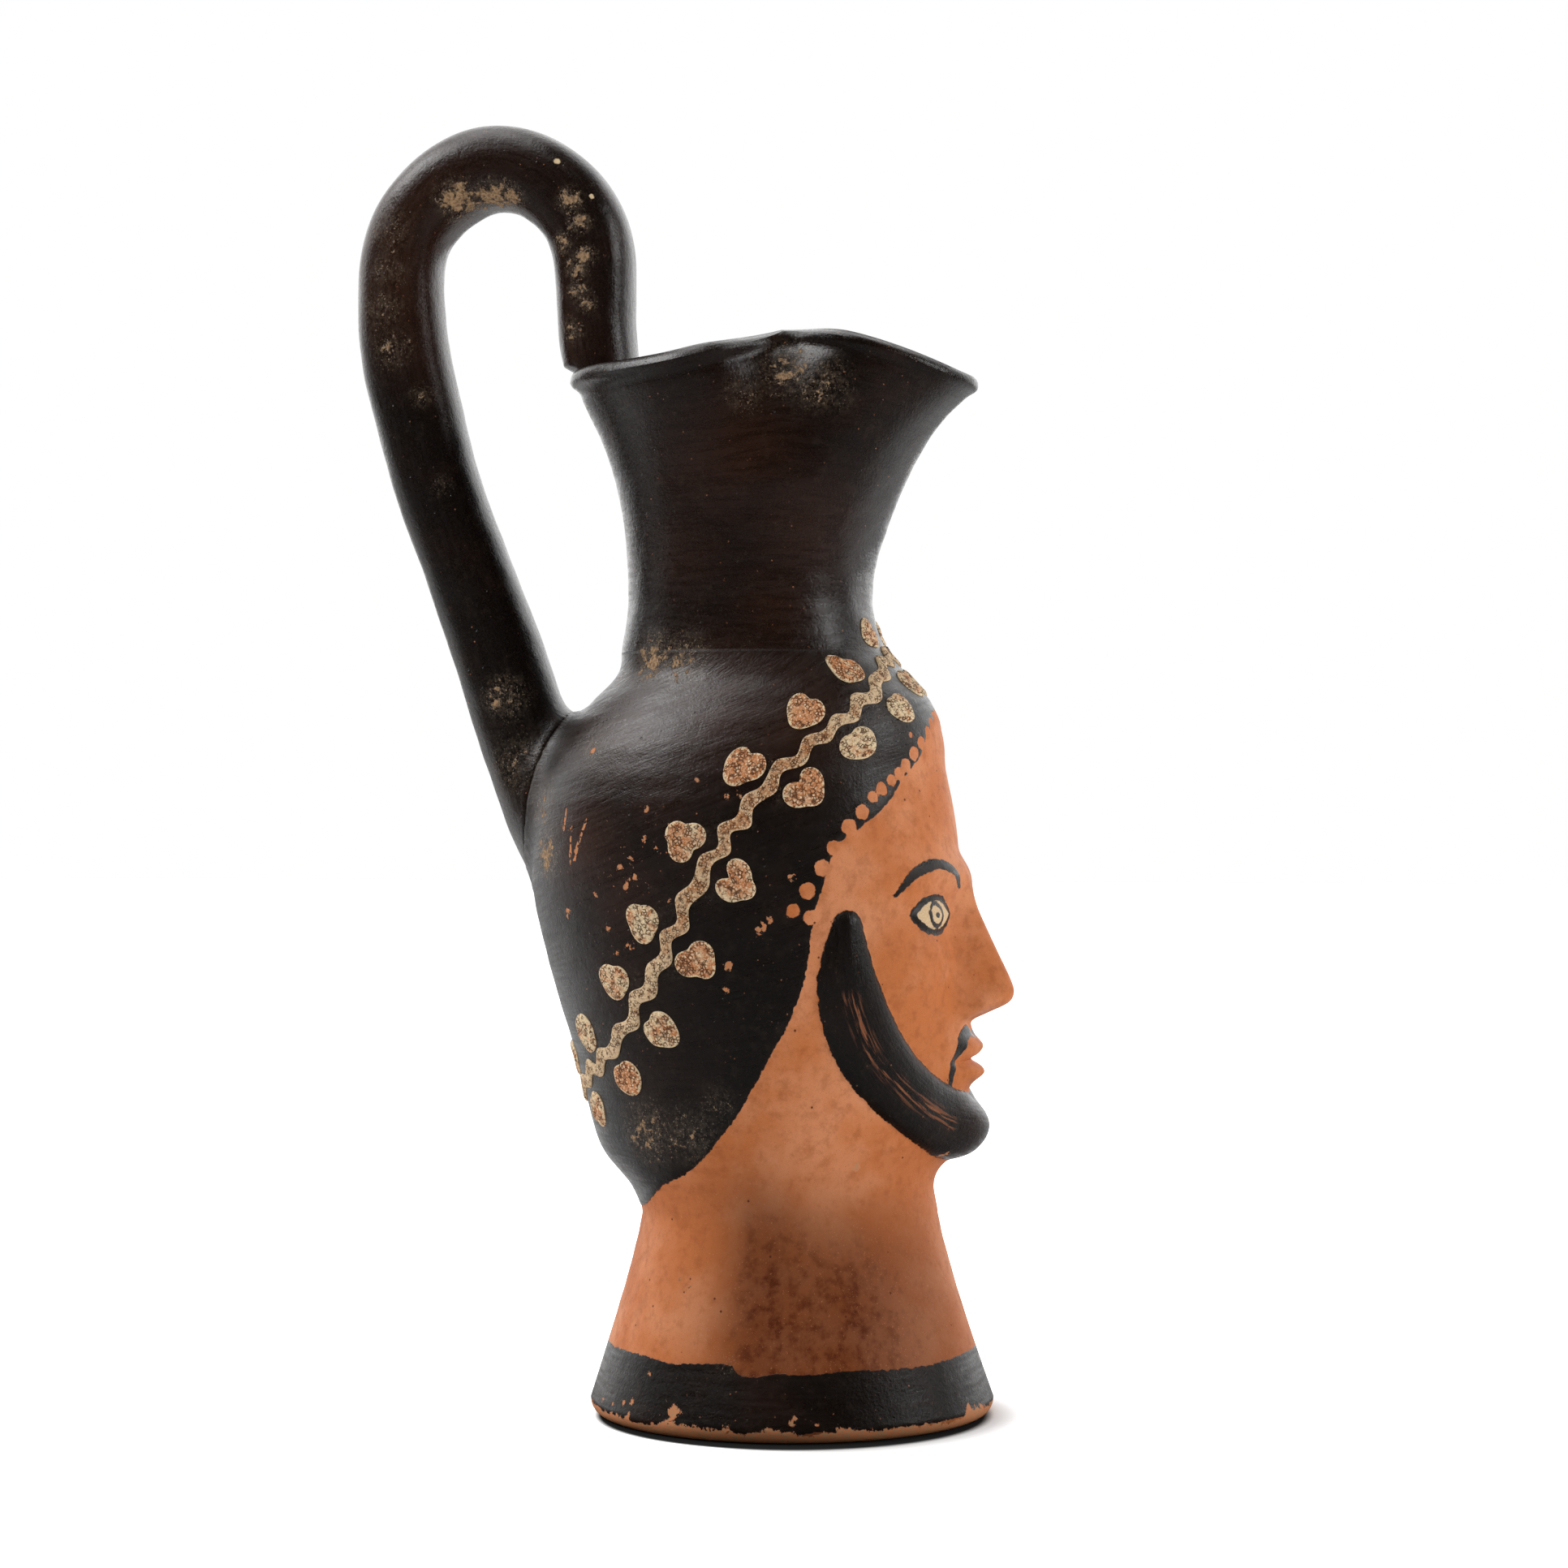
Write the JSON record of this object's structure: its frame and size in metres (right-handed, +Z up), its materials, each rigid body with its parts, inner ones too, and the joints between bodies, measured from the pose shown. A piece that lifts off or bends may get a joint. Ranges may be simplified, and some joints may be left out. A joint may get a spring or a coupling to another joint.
{
  "type": "greek head vase",
  "caption": "One-handled clay jug in the form of a bearded head, with a pinched lip, a flared foot and an ivy wreath.",
  "frame": {"origin": "centre of the foot's underside, on the surface that the vase stands on", "axes": "+Z up; -Y the way the face looks and the spout pours; +X the figure's left; the handle is on +Y"},
  "size_m": [0.0644, 0.1071, 0.207],
  "materials": {
    "black_gloss": "black gloss slip, satin to glossy, worn",
    "painted_clay": "burnished orange clay with painted black hair and beard",
    "bare_clay": "burnished orange clay",
    "cream_slip": "matt crackled cream slip"
  },
  "bodies": {
    "root": {"back_mould": "black_gloss", "face_mould": "painted_clay", "floor_disc": "bare_clay", "foot_coil": "bare_clay", "foot_pedestal": "bare_clay", "handle": "black_gloss", "ivy_leaf_left_lower_1": "cream_slip", "ivy_leaf_left_lower_2": "cream_slip", "ivy_leaf_left_lower_3": "cream_slip", "ivy_leaf_left_lower_4": "cream_slip", "ivy_leaf_left_lower_5": "cream_slip", "ivy_leaf_left_lower_6": "cream_slip", "ivy_leaf_left_lower_7": "cream_slip", "ivy_leaf_left_lower_8": "cream_slip", "ivy_leaf_left_lower_9": "cream_slip", "ivy_leaf_left_upper_1": "cream_slip", "ivy_leaf_left_upper_2": "cream_slip", "ivy_leaf_left_upper_3": "cream_slip", "ivy_leaf_left_upper_4": "cream_slip", "ivy_leaf_left_upper_5": "cream_slip", "ivy_leaf_left_upper_6": "cream_slip", "ivy_leaf_left_upper_7": "cream_slip", "ivy_leaf_left_upper_8": "cream_slip", "ivy_leaf_left_upper_9": "cream_slip", "ivy_leaf_right_lower_1": "cream_slip", "ivy_leaf_right_lower_2": "cream_slip", "ivy_leaf_right_lower_3": "cream_slip", "ivy_leaf_right_lower_4": "cream_slip", "ivy_leaf_right_lower_5": "cream_slip", "ivy_leaf_right_lower_6": "cream_slip", "ivy_leaf_right_lower_7": "cream_slip", "ivy_leaf_right_lower_8": "cream_slip", "ivy_leaf_right_lower_9": "cream_slip", "ivy_leaf_right_upper_1": "cream_slip", "ivy_leaf_right_upper_2": "cream_slip", "ivy_leaf_right_upper_3": "cream_slip", "ivy_leaf_right_upper_4": "cream_slip", "ivy_leaf_right_upper_5": "cream_slip", "ivy_leaf_right_upper_6": "cream_slip", "ivy_leaf_right_upper_7": "cream_slip", "ivy_leaf_right_upper_8": "cream_slip", "ivy_leaf_right_upper_9": "cream_slip", "ivy_stem_left": "cream_slip", "ivy_stem_right": "cream_slip", "neck_coil": "bare_clay", "seam_coil_left": "bare_clay", "seam_coil_right": "bare_clay", "spout_neck": "black_gloss"}
  },
  "joints": []
}
